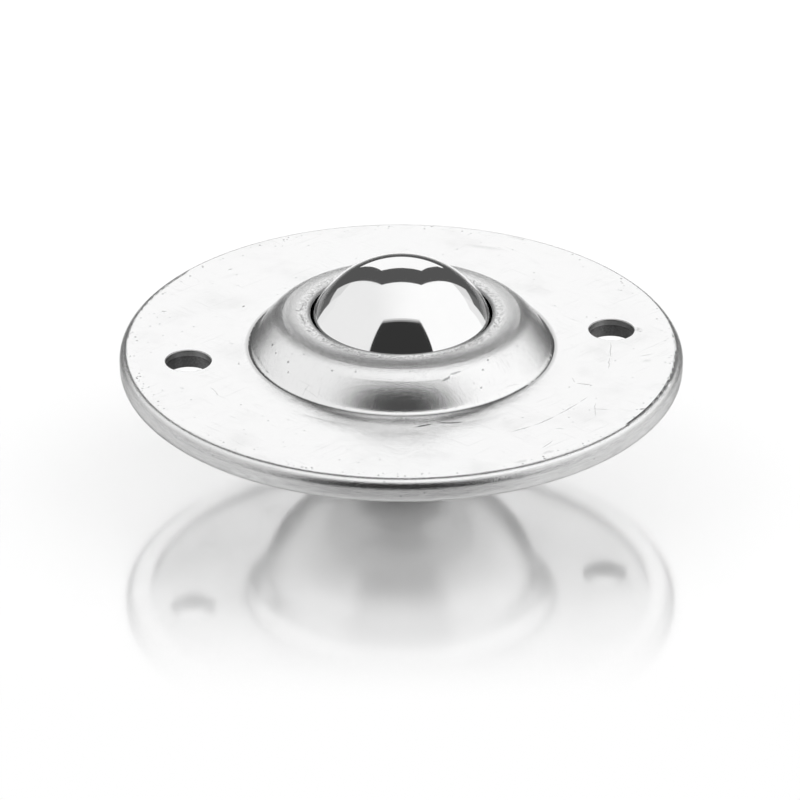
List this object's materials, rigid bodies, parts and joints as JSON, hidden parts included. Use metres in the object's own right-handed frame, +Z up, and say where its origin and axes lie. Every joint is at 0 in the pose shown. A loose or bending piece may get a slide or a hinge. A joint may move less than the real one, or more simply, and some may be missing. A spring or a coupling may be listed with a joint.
{
  "type": "flange ball transfer unit",
  "caption": "Round pressed-steel flange with fixing holes and a raised collar that holds a free-rolling steel load ball, running on small support balls in a hardened cup inside a bowl.",
  "frame": {"origin": "midway between the two fixing holes, on the flange's top face; the load ball's centre is 0.8 mm below it", "axes": "+Z up along the load ball's axis, out of the flange; +X along the line through the two fixing holes"},
  "size_m": [0.073, 0.073, 0.0315],
  "materials": {
    "zinc_plated_cap": "bright zinc plate on pressed steel, with fine scratches and a worn lip",
    "zinc_plated_bowl": "bright zinc plate on deep-drawn steel",
    "hardened_steel": "hardened, ground and oiled",
    "polished_ball": "mirror polished",
    "support_ball_steel": "polished bearing ball"
  },
  "bodies": {
    "housing": {"flange_cap": "zinc_plated_cap", "base_bowl": "zinc_plated_bowl", "hardened_cup": "hardened_steel"},
    "support_balls": {"support_balls_row_1": "support_ball_steel", "support_balls_row_2": "support_ball_steel", "support_balls_row_3": "support_ball_steel", "support_balls_row_4": "support_ball_steel", "support_balls_row_5": "support_ball_steel", "support_balls_row_6": "support_ball_steel", "support_balls_row_7": "support_ball_steel"},
    "load_ball": {"load_ball": "polished_ball"}
  },
  "joints": [
    {"name": "support_balls_circle", "type": "hinge", "parent": "housing", "child": "support_balls", "pos_m": [0, 0, -0.0008], "axis": [0, 0, 1], "continuous": true},
    {"name": "load_ball_roll", "type": "hinge", "parent": "support_balls", "child": "load_ball", "pos_m": [0, 0, -0.0008], "axis": [1, 0, 0], "continuous": true}
  ]
}
